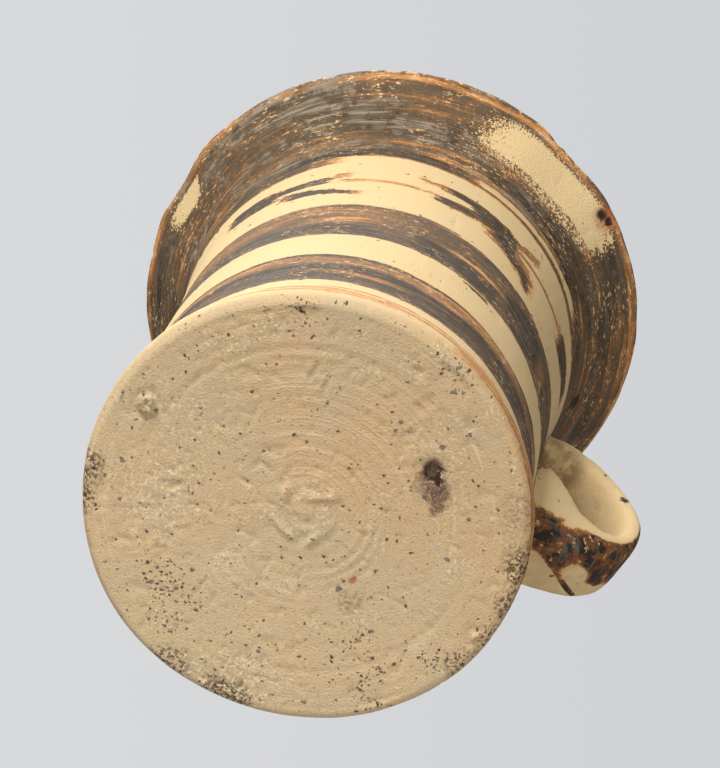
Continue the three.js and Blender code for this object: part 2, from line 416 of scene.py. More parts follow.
def closed_mesh(name, rings, caps=None):
    """A closed mesh over rings of points, with a fan over the first and the last ring."""
    starts = np.cumsum([0] + [len(r) for r in rings])
    faces = []
    for a, b, ring, after in zip(starts, starts[1:], rings, rings[1:]):
        bridge(faces, a, len(ring), b, len(after))
    first, last = caps if caps else (rings[0].mean(0), rings[-1].mean(0))
    middle = int(starts[-1])
    for j in range(len(rings[0])):
        faces.append((middle, (j + 1) % len(rings[0]), j))
    for j in range(len(rings[-1])):
        faces.append((middle + 1, int(starts[-2]) + j, int(starts[-2]) + (j + 1) % len(rings[-1])))
    points = np.concatenate([*rings, [first], [last]]) * MM
    mesh = bpy.data.meshes.new(name)
    mesh.from_pydata(points.tolist(), [], [tuple(map(int, f)) for f in faces])
    made = bpy.data.objects.new(name, mesh)
    bpy.context.scene.collection.objects.link(made)
    return made


# Shape of the strap handle

def strap_line(t):
    """Middle of the strap and its direction at shares t of its length, in the plane of radius and height."""
    root = min(np.interp((HANDLE_LOW, HANDLE_TOP), OUTER[:, 1], OUTER[:, 0])) - WALL
    out = root + WALL + HANDLE_REACH

    def at(share, z):
        return lerp(root, out, share), z

    dip = HANDLE_LOW - LOWER_DIP
    lower = [at(0, HANDLE_LOW), at(LOWER_BOW, dip), at(1, dip), at(1, HANDLE_ELBOW)]
    upper = [
        at(1, HANDLE_ELBOW),
        at(1, lerp(HANDLE_ELBOW, HANDLE_TOP, 0.5)),
        at(UPPER_BOW, HANDLE_TOP + UPPER_ARCH),
        at(0, HANDLE_TOP),
    ]
    line = np.concatenate([bezier(lower, 400), bezier(upper, 400), [at(0, HANDLE_TOP)]])
    length = np.concatenate([[0], np.cumsum(np.linalg.norm(np.diff(line, axis=0), axis=1))])
    along = np.gradient(line, axis=0)
    along /= np.linalg.norm(along, axis=1, keepdims=True)
    pick = [np.interp(t * length[-1], length, column) for column in (*line.T, *along.T)]
    return np.stack(pick[:2], -1), np.stack(pick[2:], -1)


def strap_side(t, angle):
    """Points on one side line of the strap, at this angle round its section."""
    middle, along = strap_line(t)
    near_lower = (1 - smoothstep(t, *LOWER_FLARE)) ** LOWER_FLARE_CURVE
    near_upper = smoothstep(t, *UPPER_FLARE)
    plain = (STRAP_WIDTH, STRAP_THICKNESS)
    width, thickness = (
        (plain[k] + (LOWER_ROOT[k] - plain[k]) * near_lower + (UPPER_ROOT[k] - plain[k]) * near_upper) / 2
        for k in (0, 1)
    )
    press = 2 / STRAP_SQUARENESS
    across = math.copysign(abs(math.cos(angle)) ** press, math.cos(angle)) * width
    above = math.copysign(abs(math.sin(angle)) ** press, math.sin(angle)) * thickness
    x = middle[:, 0] - across * math.sin(STRAP_SKEW) - along[:, 1] * above
    return np.stack([x, across * math.cos(STRAP_SKEW), middle[:, 1] + along[:, 0] * above], 1)


# Lumps and pits pressed into the strap
STRAP_LUMPS = 0.16
STRAP_SMALL_LUMPS = 0.07
STRAP_PIT_DEPTH = 0.3


def strap_rings():
    """Rings of the strap. Each side line runs from the middle of the wall back to the middle of the wall."""
    fine = np.linspace(0, 1, 900)
    share = np.linspace(0, 1, STRAP_STEPS)
    sides = []
    for j in range(STRAP_SIDES):
        angle = -2 * math.pi * (j + 0.5) / STRAP_SIDES
        line = strap_side(fine, angle)
        outside = np.hypot(line[:, 0], line[:, 1]) > np.interp(line[:, 2], MIDDLE[:, 1], MIDDLE[:, 0])
        start, end = fine[outside][0], fine[outside][-1]
        sides.append(strap_side(lerp(start, end, share), angle))
    place = np.stack(sides, 1)
    middle = place.mean(1, keepdims=True)
    flat = place.reshape(-1, 3)
    bump = STRAP_LUMPS * lumps(flat, 5, 51) + STRAP_SMALL_LUMPS * lumps(flat, 2, 52)
    bump -= STRAP_PIT_DEPTH * smoothstep(lumps(flat, 1.9, 53), 0.6, 0.85)
    out = (place - middle) / np.linalg.norm(place - middle, axis=2, keepdims=True)
    return list(place + out * bump.reshape(STRAP_STEPS, STRAP_SIDES, 1))


# How far the wet clay was smoothed over the joint, how often, how much each time, and how that falls off
LUTING = 2.4
LUTING_PASSES = 14
LUTING_PULL = 0.6
LUTING_FALL = 0.6


def middle_of_neighbours(v):
    return sum((e.other_vert(v).co for e in v.link_edges), Vector()) / len(v.link_edges)


def smooth_joint(mesh):
    """Rounds the inner corner between cup and strap, as a thumb does with wet clay."""
    bm = bmesh.new()
    bm.from_mesh(mesh)
    bmesh.ops.remove_doubles(bm, verts=bm.verts, dist=1e-6)
    bm.verts.ensure_lookup_table()
    joint = {v.index for e in bm.edges if len({f.material_index for f in e.link_faces}) > 1 for v in e.verts}
    tree = kdtree.KDTree(len(joint))
    for index in joint:
        tree.insert(bm.verts[index].co, index)
    tree.balance()
    reach = LUTING * MM
    near = []
    for v in bm.verts:
        away = tree.find(v.co)[2]
        if away < reach:
            near.append((v, (1 - away / reach) ** LUTING_FALL))
    for _ in range(LUTING_PASSES):
        moved = [(v, v.co.lerp(middle_of_neighbours(v), weight * LUTING_PULL)) for v, weight in near]
        for v, place in moved:
            v.co = place
    for f in bm.faces:
        f.smooth = True
        f.material_index = 0
    bm.to_mesh(mesh)
    bm.free()


# A union that keeps fewer of the cup's faces than this has failed, and the next solver is tried
UNION_KEEPS = 0.8


def join(cup, strap):
    """The union of cup and strap as one closed mesh."""
    for made, index in ((cup, 0), (strap, 1)):
        made.data.materials.append(bpy.data.materials.new("cup side"))
        made.data.materials.append(bpy.data.materials.new("strap side"))
        made.data.polygons.foreach_set("material_index", [index] * len(made.data.polygons))
    for solver in ("MANIFOLD", "EXACT"):
        union = cup.modifiers.new("luting", "BOOLEAN")
        union.operation, union.object, union.solver = "UNION", strap, solver
        shape = cup.evaluated_get(bpy.context.evaluated_depsgraph_get())
        mesh = bpy.data.meshes.new_from_object(shape)
        cup.modifiers.remove(union)
        used = np.zeros(len(mesh.polygons), int)
        mesh.polygons.foreach_get("material_index", used)
        if len(mesh.polygons) > len(cup.data.polygons) * UNION_KEEPS and used.any():
            break
    cup.data = mesh
    bpy.data.objects.remove(strap)
    smooth_joint(mesh)
    mesh.materials.clear()
    return cup


rings = turned_mesh()
underside_middle = (0, 0, -float(underside_relief(np.array([0.0]), np.array([0.0]))[0]))
cup = closed_mesh("kyathos_clay", rings, (underside_middle, (0, 0, FLOOR_THICKNESS)))
strap = closed_mesh("strap", strap_rings())
cup = join(cup, strap)


# Clay and slip. Colours are named as the eye sees them, 0 to 255

def light_of(channel):
    """A colour picker's number, from 0 to 255, as an amount of light."""
    share = channel / 255
    return share / 12.92 if channel < 11 else ((share + 0.055) / 1.055) ** 2.4


def tint(red, green, blue):
    return (light_of(red), light_of(green), light_of(blue), 1)


BUFF = tint(208, 180, 137)
PALE_BUFF = tint(226, 203, 162)
LIGHT_BUFF = tint(226, 197, 143)
GREY_BUFF = tint(203, 179, 142)
WARM_BUFF = tint(212, 168, 118)
SCUFF = tint(240, 222, 184)
SPECK_BROWN = tint(66, 52, 40)
SPECK_GREY = tint(92, 88, 88)
STAIN_PURPLE = tint(104, 76, 68)
# Brown of dirt, and of painted shade across the underside and on the handle
DIRT_AND_SHADE_BROWN = tint(108, 78, 50)
RED_CLAY = tint(176, 92, 58)
GRIME = tint(64, 50, 36)
REDDISH_WASH = tint(134, 74, 38)
# Pale grey of scuffed slip, and of painted sheen on the flare's side toward the key lamp
PALE_SCUFF_AND_SHEEN = tint(158, 142, 120)
ROSY_BUFF = tint(216, 178, 132)
PIT_BLACK = tint(38, 30, 26)
CHIP_BLACK = tint(36, 32, 30)
# The slip by how thickly it lies, from none to full
SLIP_COLOURS = [
    (0.0, tint(208, 180, 137)),
    (0.1, tint(212, 174, 122)),
    (0.22, tint(204, 138, 76)),
    (0.36, tint(146, 104, 68)),
    (0.52, tint(112, 88, 62)),
    (0.76, tint(78, 66, 50)),
    (1.0, tint(50, 44, 37)),
]
# Grey of the painted sheen: glare on thick slip, laid into its colour
SHEEN_GREY = tint(142, 131, 117)

# Strokes of slip: azimuth from and to, height at the start, rise, half width, feather, fade of the ends, load
ALL_ROUND = (-230, 230)
STROKES = [
    (*ALL_ROUND, 92.2, 0, 11.2, 0.7, 1, 0.72),
    (-200, -118, 78.6, 1.2, 1.8, 0.9, 24, 0.8),
    (-148, -89, 82.4, 0.4, 1.6, 0.6, 8, 1.0),
    (-89, -32, 87.1, 0.4, 1.4, 0.6, 8, 1.0),
    (-162, -142, 69.2, -0.4, 2.3, 0.9, 4, 1.0),
    (-146, -125, 69.5, 0.2, 1.0, 0.5, 5, 0.95),
    (-130, -119, 69.8, 2.4, 0.8, 0.6, 4, 0.4),
    (-143, -117, 66.4, -4.0, 1.0, 0.6, 5, 0.92),
    (-127, -115, 63.8, -1.6, 0.8, 0.5, 3, 0.36),
    (-127, -93, 68.5, 1.5, 0.4, 0.4, 6, 0.3),
    (-98, -67, 73.5, -0.4, 1.0, 0.6, 8, 0.95),
    (-105, -88, 73.4, 0, 0.7, 0.6, 6, 0.36),
    (-98, -79, 68.3, 0.9, 1.1, 0.7, 6, 0.92),
    (-86, -64, 71.0, 0, 2.1, 0.9, 5, 0.96),
    (-78, -56, 69.0, -5.6, 1.5, 0.9, 4, 0.96),
    (-82, -53, 69.4, -5.8, 2.7, 0.9, 6, 0.36),
    (-69, -56, 71.5, 4.2, 1.0, 0.8, 3, 0.4),
    (-76, -36, 70.5, 0.2, 0.65, 0.5, 5, 0.36),
    (-41, -14, 69.8, 3.4, 3.0, 0.9, 7, 0.9),
    (*ALL_ROUND, 48.2, 0, 7.7, 0.9, 1, 0.7),
    (-175, -96, 43.6, 0.4, 2.4, 0.9, 12, 0.92),
    (-104, -60, 44.6, 0.6, 3.2, 1.2, 10, 0.98),
    (-70, -38, 46.6, 1.4, 5.4, 1.6, 8, 1.0),
    (*ALL_ROUND, 21.8, 0, 6.2, 0.8, 1, 0.62),
    (*ALL_ROUND, 27.9, 0, 0.5, 0.4, 1, 0.85),
    (*ALL_ROUND, 22.9, 0, 1.4, 0.6, 1, 0.96),
    (*ALL_ROUND, 18.6, 0, 2.2, 0.8, 1, 0.84),
    (-132, -66, 5.2, 0.3, 2.3, 1.8, 16, 0.16),
    (-136, -50, 6.8, -1.8, 1.1, 0.5, 14, 0.28),
    (-122, -38, 10.4, -1.6, 0.8, 0.5, 14, 0.27),
    (-148, -84, 3.6, 0.4, 0.6, 0.5, 14, 0.25),
    (-82, 0, 3.0, -0.9, 1.0, 0.4, 10, 0.28),
]
# Places where the slip was wiped thin or left bare, in the same terms, the last being the share taken away
THIN_PLACES = [
    (-90, -33, 82.9, 0.2, 0.8, 0.5, 6, 0.85),
    (-112, -46, 85.1, 0, 0.4, 0.4, 14, 0.5),
    (-200, -88, 85.6, 2.4, 0.7, 0.8, 20, 0.25),
    (*ALL_ROUND, 99.3, 0, 0.25, 0.4, 1, 0.5),
    (-136, -98, 48.7, 0.2, 0.6, 0.8, 16, 0.6),
    (-94, -58, 48.6, 0, 0.6, 0.8, 14, 0.66),
    (-200, -92, 52.6, -0.6, 2.4, 1.2, 24, 0.3),
    (*ALL_ROUND, 25.6, 0, 1.4, 0.8, 1, 0.34),
    (-126, -86, 20.1, 0.1, 0.5, 0.6, 14, 0.5),
    (-96, -68, 24.1, 0, 0.5, 0.5, 10, 0.6),
    (-80, -38, 26.2, 0.2, 1.8, 0.8, 14, 0.4),
    (-46, -34, 46, 2, 4.5, 2, 6, 0.35),
]
# Places where dry slip was rubbed off, grain by grain at the edges
RUBBED_PLACES = [
    (-100, -37, 93.8, 1.6, 2.3, 3.2, 20, 1.0),
    (-188, -168, 96.6, 0.4, 0.8, 1.4, 7, 0.95),
]
# A faint dry stroke through the rubbed place
DRY_STROKES = [
    (-98, -36, 91.0, 1.8, 0.6, 1.1, 20, 0.8),
]
# Fine strokes that were laid over the bare places
LATE_STROKES = [
    (-99, -84, 57.0, 0.1, 0.3, 0.25, 3, 1.0),
    (-79, -69, 38.7, 0.1, 0.3, 0.25, 2, 1.0),
    (*ALL_ROUND, 80.6, 0, 0.35, 0.4, 1, 0.32),
    (-99, -93, 7.6, 0, 0.5, 0.5, 2, 0.6),
]

# Stained and speckled places of the underside: x, y, radius, strength
SPECKLED = [
    (-14.8, 21.6, 4.0, 1), (-9.5, 21.5, 2.8, 1), (-31, 15, 2.6, 1), (0, 34, 2.2, 1), (7, 33.5, 2.6, 0.8),
    (-11.2, 27, 3.0, 1), (-0.8, 25.5, 1.6, 0.8), (22, 22, 3.0, 0.9), (21.5, 18, 2.6, 0.7),
    (29, 12.5, 2.4, 0.8), (16, 15, 3.6, 0.7), (-15, -30, 2.6, 0.8), (10.5, -32, 3.4, 1), (26, 26, 4, 0.8),
]
WHITISH = [
    (-7, 14, 3.4, 0.8), (2, 13, 2.6, 0.7), (25, -3, 3.2, 0.6),
    (26, 11, 2.6, 0.6), (5, 30, 5, 0.7), (-21, 11, 5, 0.6),
]
BROWNISH = [
    (13, 10, 2.0, 0.7), (-34.5, 10, 4, 0.7), (-33, 17, 3, 0.6),
    (30, -17, 4, 0.6), (33, -10, 3, 0.6), (-30, -4, 1.7, 0.9),
]
CRUMBLED = [
    (-21, 9, 8, 1), (5, 31, 6, 1), (0, 0, 5, 0.7),
    (-24, -4, 6, 0.7), (15, -24, 4, 0.6), (-2, 33, 4, 1),
]
STAIN = [(14.6, -15.6, 2.6, 1), (16.0, -13.9, 2.8, 1), (17.5, -12.3, 2.3, 0.9)]
STAIN_PIT = [(14.6, -16.2, 1.5, 1), (15.8, -15.3, 1.0, 1)]
RED_MARKS = [(11.8, 6.3, 0.7, 1), (15.3, 8.2, 0.5, 0.9), (-20, -27.5, 0.6, 0.9)]

# Grimy places, smudges with painted shade on the handle and at its upper root, black chips and the red edge
# of one of them: x, y, z, radius, strength
DIRTY = [
    (35.7, -2, 1, 3.2, 1), (34.8, -8.5, 0.9, 3.8, 1), (33.8, 11, 0.8, 3.4, 0.9), (36, 4.5, 1.4, 3.4, 1),
    (-34.5, 10.5, 0.8, 3.4, 1), (-33, 15.5, 0.6, 3.0, 1), (-8, 34.8, 0.6, 4.0, 0.9), (3, 35.3, 0.6, 4.2, 1),
]
# Dirt, and painted shade where the strap meets the wall and on the strap's lower and inner faces
SMUDGED_AND_SHADED = [
    (36.5, -4.0, 58.5, 5.0, 0.9), (37.5, -6.5, 90.5, 4.0, 0.5),
    (42, 3.5, 31, 7.0, 0.25), (45, 0, 57, 6, 0.25),
]
BLACK_CHIPS = [
    (25.2, -34.9, 98.2, 1.1, 1), (26.8, -34.2, 98.6, 0.9, 1), (36.4, -4.2, 90.3, 1.6, 0.9),
    (48.9, -5.9, 54.2, 0.9, 1), (-15.4, -29.8, 0, 0.6, 1),
]
RED_EDGE = [(26.2, -34.6, 98.2, 2.6, 0.6)]

# Shares of a spot's radius between which it fades out
SPOT_CORE = 0.55
SPOT_EDGE = 1.25
# Sizes of the grains in a speck's cell: the least, and what the largest have more
GRAIN_LEAST = 0.1
GRAIN_MORE = 0.3
# Grains in a millimetre along a line
FINE_GRAINS = 1.35
COARSE_GRAINS = 0.78
SCATTERED_GRAINS = 1.1

# Heights, and distances beyond the wall's middle, over which one finish passes into another
UNDER = (1.7, 0.5)
# UPPER starts low so that the wall's lighter colour covers the rounded foot edge, as painted light
UPPER = (0.4, 3.5)
STRAP_FROM = (24, 27)
STRAP_TO = (69, 67)
BEYOND_ON_STRAP = (2.35, 2.75)
BEYOND_OUTSIDE = (-0.6, 0.6)
ABOVE_FLOOR = (3.2, 4.2)
INNER_BAND = (87.0, 88.5)
ON_FLARE = (81, 84)
ON_LIP = (98.8, 100.6)
# Radius that the whole height of the wall's curve stands for
CURVE_RADIUS = 50.0
# Azimuth behind the cup at which the angles of the strokes start over
SEAM = -205.0


class Sheet:
    """A node tree, with short calls for the nodes that clay and slip are mixed from."""

    def __init__(self, tree):
        self.tree = tree

    def feed(self, socket, value):
        """Links a node's input to the value, or sets it."""
        if isinstance(value, bpy.types.NodeSocket):
            self.tree.links.new(value, socket)
        else:
            socket.default_value = value

    def node(self, kind, inputs=None, **settings):
        made = self.tree.nodes.new("ShaderNode" + kind)
        for key, value in settings.items():
            setattr(made, key, value)
        for key, value in (inputs or {}).items():
            self.feed(made.inputs[key], value)
        return made

    def calc(self, operation, *values):
        return self.node("Math", dict(enumerate(values)), operation=operation).outputs[0]

    def add(self, first, *others):
        for other in others:
            first = self.calc("ADD", first, other)
        return first

    def times(self, first, *others):
        for other in others:
            first = self.calc("MULTIPLY", first, other)
        return first

    def most(self, first, *others):
        for other in others:
            first = self.calc("MAXIMUM", first, other)
        return first

    def minus(self, first, second):
        return self.calc("SUBTRACT", first, second)

    def less(self, value):
        """One minus the value."""
        return self.minus(1.0, value)

    def ease(self, value, start, end, to_start=0.0, to_end=1.0):
        inputs = {"Value": value, "From Min": start, "From Max": end, "To Min": to_start, "To Max": to_end}
        return self.node("MapRange", inputs, interpolation_type="SMOOTHSTEP").outputs["Result"]

    def vector(self, operation, first, second):
        return self.node("VectorMath", {0: first, 1: second}, operation=operation).outputs["Vector"]

    def stretch(self, place, scale):
        return self.vector("MULTIPLY", place, scale)

    def scaled(self, place, amount):
        return self.node("VectorMath", {0: place, "Scale": amount}, operation="SCALE").outputs["Vector"]

    def dot(self, first, second):
        return self.node("VectorMath", {0: first, 1: second}, operation="DOT_PRODUCT").outputs["Value"]

    def noise(self, place, scale, detail, roughness=0.5):
        """Noise from 0 to 1 whose lumps are one unit of the stretched place."""
        stretched = self.stretch(place, scale)
        inputs = {"Vector": stretched, "Scale": 1.0, "Detail": detail, "Roughness": roughness}
        return self.node("TexNoise", inputs).outputs["Fac"]

    def warp(self, place, scale, amount):
        """The place, pushed about by noise whose lumps are one unit of the scaled place."""
        inputs = {"Vector": place, "Scale": scale, "Detail": 2.0, "Roughness": 0.6}
        push = self.vector("SUBTRACT", self.node("TexNoise", inputs).outputs["Color"], (0.5, 0.5, 0.5))
        return self.vector("ADD", place, self.scaled(push, amount))

    def mix(self, share, first, second):
        return self.node("Mix", data_type="RGBA", inputs={0: share, 6: first, 7: second}).outputs[2]

    def coat(self, below, mask, amount, above):
        """One colour laid over another where the mask is, covering this share of it at most."""
        return self.mix(self.times(mask, amount), below, above)

    def ramp(self, value, stops):
        made = self.node("ValToRGB", {"Fac": value})
        marks = made.color_ramp.elements
        while len(marks) < len(stops):
            marks.new(0.5)
        for mark, (at, colour) in zip(marks, stops):
            mark.position, mark.color = at, colour
        return made.outputs["Color"]

    def use(self, group, inputs):
        return self.node("Group", inputs, node_tree=group).outputs


def new_group(name, inputs, outputs):
    """An empty node group. Inputs and outputs are pairs of a name and a kind of socket."""
    tree = bpy.data.node_groups.new(name, "ShaderNodeTree")
    for way, sockets in (("INPUT", inputs), ("OUTPUT", outputs)):
        for socket, kind in sockets:
            tree.interface.new_socket(name=socket, in_out=way, socket_type="NodeSocket" + kind)
    sheet = Sheet(tree)
    return sheet, tree.nodes.new("NodeGroupInput").outputs, tree.nodes.new("NodeGroupOutput").inputs


def turned_place():
    """Azimuth in degrees, counted up from the seam, and height and radius in millimetres."""
    outputs = [(name, "Float") for name in ("Azimuth", "Height", "Radius")]
    sheet, given, result = new_group("turned place", [("Place", "Vector")], outputs)
    x, y, z = sheet.node("SeparateXYZ", {0: given["Place"]}).outputs
    link = sheet.tree.links.new
    azimuth = sheet.times(sheet.calc("ARCTAN2", y, x), math.degrees(1))
    link(sheet.calc("WRAP", azimuth, SEAM + 360, SEAM), result["Azimuth"])
    link(z, result["Height"])
    link(sheet.calc("SQRT", sheet.add(sheet.times(x, x), sheet.times(y, y))), result["Radius"])
    return sheet.tree


def brush_stroke():
    """One stroke round the wall, from one azimuth to another, feathered at its edges and ends."""
    names = ["Azimuth", "Height", "From", "To", "Middle", "Rise", "Half Width", "Feather", "Fade"]
    sheet, given, result = new_group("brush stroke", [(name, "Float") for name in names], [("Mask", "Float")])
    start, end, fade = given["From"], given["To"], given["Fade"]
    inputs = {"Value": given["Azimuth"], "From Min": start, "From Max": end}
    share = sheet.node("MapRange", inputs).outputs["Result"]
    middle = sheet.calc("MULTIPLY_ADD", share, given["Rise"], given["Middle"])
    away = sheet.calc("ABSOLUTE", sheet.minus(given["Height"], middle))
    far = sheet.add(given["Half Width"], given["Feather"])
    across = sheet.ease(away, given["Half Width"], far, 1.0, 0.0)
    opening = sheet.ease(given["Azimuth"], start, sheet.add(start, fade))
    closing = sheet.ease(given["Azimuth"], sheet.minus(end, fade), end, 1.0, 0.0)
    sheet.tree.links.new(sheet.times(across, opening, closing), result["Mask"])
    return sheet.tree


def round_spot():
    """A soft round spot about a centre."""
    inputs = [("Place", "Vector"), ("Centre", "Vector"), ("Radius", "Float"), ("Strength", "Float")]
    sheet, given, result = new_group("round spot", inputs, [("Mask", "Float")])
    ends = {0: given["Place"], 1: given["Centre"]}
    away = sheet.node("VectorMath", ends, operation="DISTANCE").outputs["Value"]
    core = sheet.times(given["Radius"], SPOT_CORE)
    edge = sheet.times(given["Radius"], SPOT_EDGE)
    spot = sheet.ease(away, core, edge, 1.0, 0.0)
    sheet.tree.links.new(sheet.times(spot, given["Strength"]), result["Mask"])
    return sheet.tree


def slip_colour():
    """The colour of slip by how thickly it lies, with painted sheen on its thick streaks, and how much of the
    clay it covers.
    """
    inputs = [("Load", "Float"), ("Streak", "Float"), ("Clay", "Color")]
    sheet, given, result = new_group("slip colour", inputs, [("Color", "Color"), ("Cover", "Float")])
    paint = sheet.ramp(given["Load"], SLIP_COLOURS)
    thick = sheet.ease(given["Load"], 0.55, 0.85)
    # Painted sheen: thick slip turns grey along bright streaks, standing in for glare
    bright = sheet.times(thick, sheet.ease(given["Streak"], 0.5, 0.72), 0.6)
    paint = sheet.mix(bright, paint, SHEEN_GREY)
    cover = sheet.ease(given["Load"], 0.06, 0.24)
    sheet.tree.links.new(sheet.mix(cover, given["Clay"], paint), result["Color"])
    sheet.tree.links.new(cover, result["Cover"])
    return sheet.tree


def dark_specks(name, dimensions):
    """Small round grains scattered over the clay, denser where the amount is higher."""
    inputs = [("Place", "Vector"), ("Size", "Float"), ("Amount", "Float")]
    sheet, given, result = new_group(name, inputs, [("Mask", "Float")])
    inputs = {"Vector": sheet.scaled(given["Place"], given["Size"]), "Scale": 1.0, "Randomness": 1.0}
    cells = sheet.node("TexVoronoi", inputs, voronoi_dimensions=dimensions)
    chance = sheet.node("SeparateColor", {0: cells.outputs["Color"]}).outputs
    there = sheet.calc("LESS_THAN", chance[0], given["Amount"])
    radius = sheet.calc("MULTIPLY_ADD", sheet.times(chance[1], chance[1]), GRAIN_MORE, GRAIN_LEAST)
    core = sheet.times(radius, 0.6)
    edge = sheet.times(radius, 1.3)
    dot = sheet.ease(cells.outputs["Distance"], core, edge, 1.0, 0.0)
    sheet.tree.links.new(sheet.times(there, dot), result["Mask"])
    return sheet.tree


TURNED_PLACE = turned_place()
BRUSH_STROKE = brush_stroke()
ROUND_SPOT = round_spot()
SLIP_COLOUR = slip_colour()
DARK_SPECKS = dark_specks("dark specks", "3D")
FLAT_SPECKS = dark_specks("dark specks of the underside", "2D")


def load_of(sheet, strokes, azimuth, height):
    """The thickest slip that any of these strokes lays."""
    names = ["From", "To", "Middle", "Rise", "Half Width", "Feather", "Fade"]
    thickest = 0.0
    for *numbers, load in strokes:
        inputs = {"Azimuth": azimuth, "Height": height, **dict(zip(names, numbers))}
        mask = sheet.use(BRUSH_STROKE, inputs)["Mask"]
        thickest = sheet.most(sheet.times(mask, float(load)), thickest)
    return thickest


def spot_at(sheet, place, centre, radius, strength):
    inputs = {"Place": place, "Centre": centre, "Radius": float(radius), "Strength": float(strength)}
    return sheet.use(ROUND_SPOT, inputs)["Mask"]


def spots_of(sheet, spots, place):
    """The strongest of these round spots. A centre of two numbers lies on the underside."""
    strongest = 0.0
    for *centre, radius, strength in spots:
        spot = spot_at(sheet, place, (*centre, 0)[:3], radius, strength)
        strongest = sheet.most(spot, strongest)
    return strongest


# Paint

def survey(sheet):
    """Where a point is on the cup, in millimetres and degrees, and the noises that effects share."""
    where = sheet.node("TexCoord")
    place = sheet.scaled(where.outputs["Object"], 1 / MM)
    azimuth, height, radius = sheet.use(TURNED_PLACE, {"Place": place}).values()
    x, y = sheet.node("SeparateXYZ", {0: place}).outputs[:2]
    at = SimpleNamespace(place=place, x=x, y=y, azimuth=azimuth, height=height, radius=radius)
    at.normal = where.outputs["Normal"]
    at.streak = sheet.noise(place, (0.06, 0.06, 1.5), 4.0, 0.68)
    at.long_streak = sheet.noise(place, (0.03, 0.03, 0.42), 2.0)
    at.broad = sheet.noise(place, (0.045, 0.045, 0.3), 3.0, 0.6)
    at.grain = sheet.noise(place, (2.6, 2.6, 2.6), 3.0, 0.65)
    at.blotch = sheet.noise(place, (0.13, 0.13, 0.13), 3.0, 0.55)
    at.ragged = sheet.minus(sheet.noise(place, (0.7, 0.7, 0.7), 3.0, 0.6), 0.5)
    at.mottle = sheet.noise(place, (0.36, 0.36, 0.36), 4.0, 0.65)
    at.flakes = sheet.noise(place, (1.5, 1.5, 1.5), 3.0, 0.7)
    at.under = sheet.ease(height, *UNDER)
    at.on_flare = sheet.ease(height, *ON_FLARE)
    beyond = sheet.minus(radius, middle_radius(sheet, height))
    strap_zone = sheet.times(sheet.ease(height, *STRAP_FROM), sheet.ease(height, *STRAP_TO))
    at.on_handle = sheet.times(sheet.ease(beyond, *BEYOND_ON_STRAP), strap_zone)
    at.outside = sheet.ease(beyond, *BEYOND_OUTSIDE)
    at.inside = sheet.times(sheet.less(at.outside), sheet.ease(height, *ABOVE_FLOOR))
    return at


def middle_radius(sheet, height):
    """The radius of the middle of the wall at this height."""
    curve = sheet.node("FloatCurve", {"Value": sheet.times(height, 1 / HEIGHT)})
    points = curve.mapping.curves[0].points
    places = [(h / HEIGHT, r / CURVE_RADIUS) for r, h in MIDDLE[::20]]
    points[0].location = (0, places[0][1])
    points[1].location = (1, LIP_CENTRE[0] / CURVE_RADIUS)
    for place in places:
        points.new(*place)
    curve.mapping.update()
    return sheet.times(curve.outputs[0], CURVE_RADIUS)


def bare_clay(sheet, at):
    """Buff clay: lighter on the walls and over the foot's rounded edge, painted light there; rosy in places
    under the foot, with painted light and shade across it.
    """
    clay = sheet.mix(sheet.ease(at.blotch, 0.35, 0.65), GREY_BUFF, BUFF)
    clay = sheet.coat(clay, sheet.ease(at.long_streak, 0.5, 0.75), 0.5, WARM_BUFF)
    clay = sheet.coat(clay, sheet.ease(at.grain, 0.52, 0.72), 0.5, PALE_BUFF)
    rosy = sheet.times(sheet.ease(at.broad, 0.42, 0.6), at.under)
    clay = sheet.coat(clay, rosy, 0.6, ROSY_BUFF)
    # Painted light and shade across the underside: paler towards +y, browner and darker towards -y
    painted_light_share = sheet.ease(at.y, -34, 26)
    clay = sheet.coat(clay, sheet.times(at.under, painted_light_share), 0.28, PALE_BUFF)
    clay = sheet.coat(clay, sheet.times(at.under, sheet.less(painted_light_share)), 0.08, DIRT_AND_SHADE_BROWN)
    # Lighter wall colour, reaching down over the foot's rounded edge as painted light
    upper = sheet.times(sheet.ease(at.height, *UPPER), at.outside)
    return sheet.coat(clay, upper, 0.6, LIGHT_BUFF)


def cup_load(sheet, at):
    """Slip on the cup: strokes outside, less what was wiped and rubbed off, and a band inside."""
    wave = sheet.times(sheet.minus(at.long_streak, 0.5), 3.0)
    height = sheet.add(at.height, wave, sheet.times(at.ragged, 0.7))
    dry_brush = sheet.minus(sheet.add(at.streak, at.ragged, sheet.times(at.grain, 0.8)), 0.9)
    azimuth = sheet.calc("MULTIPLY_ADD", dry_brush, 8.0, at.azimuth)
    load = load_of(sheet, STROKES, azimuth, height)
    load = sheet.times(load, sheet.less(load_of(sheet, THIN_PLACES, azimuth, height)))
    rubbed = load_of(sheet, RUBBED_PLACES, azimuth, height)
    rubbed = sheet.calc("MULTIPLY_ADD", sheet.minus(at.grain, 0.5), 1.7, rubbed)
    load = sheet.times(load, sheet.ease(rubbed, 0.46, 0.58, 1.0, 0.0))
    dry = load_of(sheet, DRY_STROKES, azimuth, height)
    dry = sheet.times(dry, sheet.ease(at.grain, 0.46, 0.54))
    load = sheet.most(load, load_of(sheet, LATE_STROKES, azimuth, height), dry)
    load = sheet.times(load, sheet.less(at.on_handle), at.outside)
    band_inside = sheet.times(at.inside, sheet.ease(height, *INNER_BAND), 0.9)
    load = sheet.most(load, band_inside)
    uneven = sheet.calc("MULTIPLY_ADD", sheet.minus(at.streak, 0.5), 2.6, 0.93)
    uneven = sheet.add(uneven, sheet.times(at.ragged, 0.5))
    patchy = sheet.times(at.on_flare, sheet.minus(at.broad, 0.48), 1.8)
    return sheet.times(load, sheet.add(uneven, patchy))


